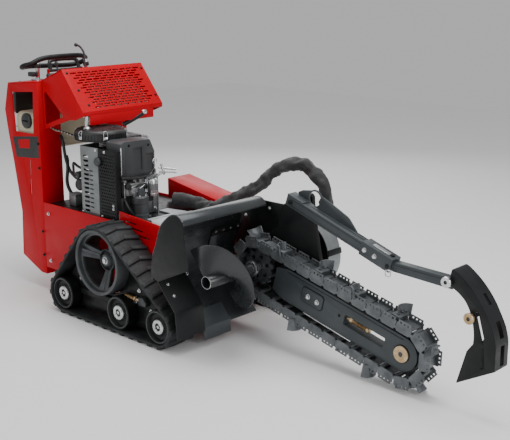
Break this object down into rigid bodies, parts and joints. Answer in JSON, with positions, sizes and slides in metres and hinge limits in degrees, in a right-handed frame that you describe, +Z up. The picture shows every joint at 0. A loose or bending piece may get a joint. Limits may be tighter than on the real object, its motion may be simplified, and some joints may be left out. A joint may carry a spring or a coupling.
{
  "type": "trencher",
  "caption": "Walk-behind tracked trencher with triangular rubber tracks, a control tower, a perforated sloped hood, a toothed chain boom, a spoil auger and a curved crumber arm.",
  "frame": {"origin": "middle of the footprint, on the ground", "axes": "+X forwards along the digging boom, +Y to the machine's left, +Z up"},
  "size_m": [2.73, 0.86, 1.2082],
  "materials": {
    "red_paint": "gloss powder coat",
    "black_coat": "satin powder coat",
    "charcoal_enamel": "semi-gloss enamel",
    "track_rubber": "matt moulded rubber",
    "cast_steel": "dark forged steel",
    "zinc_steel": "zinc plated",
    "cream_plastic": "blow-moulded polyethylene",
    "light_grey_plastic": "moulded",
    "engine_aluminium": "die cast",
    "black_plastic": "moulded",
    "hose_sleeve": "woven nylon sleeve",
    "zinc_yellow": "yellow zinc plate"
  },
  "bodies": {
    "chassis": {"air_cleaner": "black_plastic", "control_console": "red_paint", "engine_block": "engine_aluminium", "engine_deck": "black_coat", "engine_shroud": "black_plastic", "floor_pan": "red_paint", "front_bulkhead": "red_paint", "fuel_tank": "cream_plastic", "handlebar": "black_coat", "head_housing": "black_coat", "hood": "red_paint", "hose_bundle": "hose_sleeve", "hydraulic_pump": "engine_aluminium", "hydraulic_tank": "light_grey_plastic", "left_fender_box": "red_paint", "left_side_plate": "red_paint", "left_spoil_guard": "cast_steel", "left_tower_column": "red_paint", "left_track_belt": "track_rubber", "left_track_frame": "black_coat", "left_wheel_motor": "black_coat", "muffler": "black_coat", "muffler_guard": "zinc_steel", "oil_cooler": "engine_aluminium", "oil_filter": "zinc_steel", "rear_knee_pad": "black_plastic", "right_side_plate": "red_paint", "right_tower_column": "red_paint", "right_track_belt": "track_rubber", "right_track_frame": "black_coat", "right_wheel_motor": "black_coat", "scraper_plate": "black_coat", "shield_liner": "track_rubber", "spoil_shield": "charcoal_enamel", "trencher_motor": "black_coat"},
    "boom": {"boom_frame": "charcoal_enamel", "nose_pin": "zinc_yellow", "chain_tensioner": "zinc_yellow", "digging_chain": "cast_steel"},
    "nose": {"nose_roller": "zinc_steel"},
    "headshaft": {"head_shaft": "zinc_steel", "head_sprocket": "zinc_steel", "spoil_auger": "charcoal_enamel"},
    "crumber": {"crumber_arm": "black_coat"},
    "crumber_bar": {"crumber_extension": "black_coat", "crumber_shoe": "black_coat"},
    "cylinder": {"lift_cylinder": "black_coat"},
    "piston": {"lift_rod": "zinc_steel"},
    "traction_control": {"traction_bar": "black_coat"},
    "boom_control": {"boom_lever": "black_coat"},
    "throttle_control": {"throttle_lever": "black_coat"},
    "filler_cap": {"fuel_cap": "black_plastic"},
    "right_sprocket": {"right_drive_sprocket": "cast_steel"},
    "right_rear_wheel": {"right_rear_road_wheel": "black_coat"},
    "right_middle_wheel": {"right_middle_road_wheel": "black_coat"},
    "right_front_wheel": {"right_front_road_wheel": "black_coat"},
    "left_sprocket": {"left_drive_sprocket": "cast_steel"},
    "left_rear_wheel": {"left_rear_road_wheel": "black_coat"},
    "left_middle_wheel": {"left_middle_road_wheel": "black_coat"},
    "left_front_wheel": {"left_front_road_wheel": "black_coat"}
  },
  "joints": [
    {"name": "boom_lift", "type": "hinge", "parent": "chassis", "child": "boom", "pos_m": [0.218, -0.052, 0.34], "axis": [0, 1, 0], "range_deg": [-12, 50]},
    {"name": "headshaft_spin", "type": "hinge", "parent": "chassis", "child": "headshaft", "pos_m": [0.218, -0.052, 0.34], "axis": [0, 1, 0], "continuous": true},
    {"name": "nose_roller_spin", "type": "hinge", "parent": "boom", "child": "nose", "pos_m": [0.96577, -0.052, 0.15633], "axis": [0, 1, 0], "continuous": true},
    {"name": "crumber_lift", "type": "hinge", "parent": "boom", "child": "crumber", "pos_m": [0.403, -0.052, 0.652], "axis": [0, -1, 0], "range_deg": [0, 30]},
    {"name": "crumber_extend", "type": "slide", "parent": "crumber", "child": "crumber_bar", "axis": [0.9494, 0, -0.314], "range_m": [0, 0.1]},
    {"name": "lift_barrel_pivot", "type": "hinge", "parent": "chassis", "child": "cylinder", "pos_m": [0.053, 0.06, 0.17], "axis": [0, 1, 0], "range_deg": [-3, 9]},
    {"name": "lift_rod_slide", "type": "slide", "parent": "cylinder", "child": "piston", "axis": [0.3357, 0, 0.942], "range_m": [-0.02, 0.08]},
    {"name": "traction_tilt", "type": "hinge", "parent": "chassis", "child": "traction_control", "pos_m": [-1.227, 0.035, 1.066], "axis": [0, 1, 0], "range_deg": [-12, 12], "stiffness_Nm_per_rad": 20},
    {"name": "boom_lever_tilt", "type": "hinge", "parent": "chassis", "child": "boom_control", "pos_m": [-1.097, 0.063, 1.062], "axis": [0, 1, 0], "range_deg": [-15, 15], "stiffness_Nm_per_rad": 8},
    {"name": "throttle_tilt", "type": "hinge", "parent": "chassis", "child": "throttle_control", "pos_m": [-1.097, -0.1, 1.06], "axis": [0, 1, 0], "range_deg": [-25, 25]},
    {"name": "fuel_cap_twist", "type": "hinge", "parent": "chassis", "child": "filler_cap", "pos_m": [-1.149, -0.25, 0.842], "axis": [0, -1, 0], "range_deg": [0, 120]},
    {"name": "right_track_drive", "type": "hinge", "parent": "chassis", "child": "right_sprocket", "pos_m": [-0.43, -0.355, 0.3], "axis": [0, 1, 0], "continuous": true},
    {"name": "right_rear_wheel_spin", "type": "hinge", "parent": "chassis", "child": "right_rear_wheel", "pos_m": [-0.6964, -0.355, 0.0975], "axis": [0, 1, 0], "continuous": true},
    {"name": "right_middle_wheel_spin", "type": "hinge", "parent": "chassis", "child": "right_middle_wheel", "pos_m": [-0.297, -0.355, 0.0975], "axis": [0, 1, 0], "continuous": true},
    {"name": "right_front_wheel_spin", "type": "hinge", "parent": "chassis", "child": "right_front_wheel", "pos_m": [-0.0345, -0.355, 0.0975], "axis": [0, 1, 0], "continuous": true},
    {"name": "left_track_drive", "type": "hinge", "parent": "chassis", "child": "left_sprocket", "pos_m": [-0.43, 0.355, 0.3], "axis": [0, 1, 0], "continuous": true},
    {"name": "left_rear_wheel_spin", "type": "hinge", "parent": "chassis", "child": "left_rear_wheel", "pos_m": [-0.6964, 0.355, 0.0975], "axis": [0, 1, 0], "continuous": true},
    {"name": "left_middle_wheel_spin", "type": "hinge", "parent": "chassis", "child": "left_middle_wheel", "pos_m": [-0.297, 0.355, 0.0975], "axis": [0, 1, 0], "continuous": true},
    {"name": "left_front_wheel_spin", "type": "hinge", "parent": "chassis", "child": "left_front_wheel", "pos_m": [-0.0345, 0.355, 0.0975], "axis": [0, 1, 0], "continuous": true}
  ],
  "couplings": [
    {"joint": "nose_roller_spin", "follows": "headshaft_spin", "ratio": 1},
    {"joint": "lift_barrel_pivot", "follows": "boom_lift", "ratio": 0.17},
    {"joint": "lift_rod_slide", "follows": "boom_lift", "m_per_rad": 0.086},
    {"joint": "right_rear_wheel_spin", "follows": "right_track_drive", "ratio": 1.974},
    {"joint": "right_middle_wheel_spin", "follows": "right_track_drive", "ratio": 1.974},
    {"joint": "right_front_wheel_spin", "follows": "right_track_drive", "ratio": 1.974},
    {"joint": "left_rear_wheel_spin", "follows": "left_track_drive", "ratio": 1.974},
    {"joint": "left_middle_wheel_spin", "follows": "left_track_drive", "ratio": 1.974},
    {"joint": "left_front_wheel_spin", "follows": "left_track_drive", "ratio": 1.974}
  ]
}
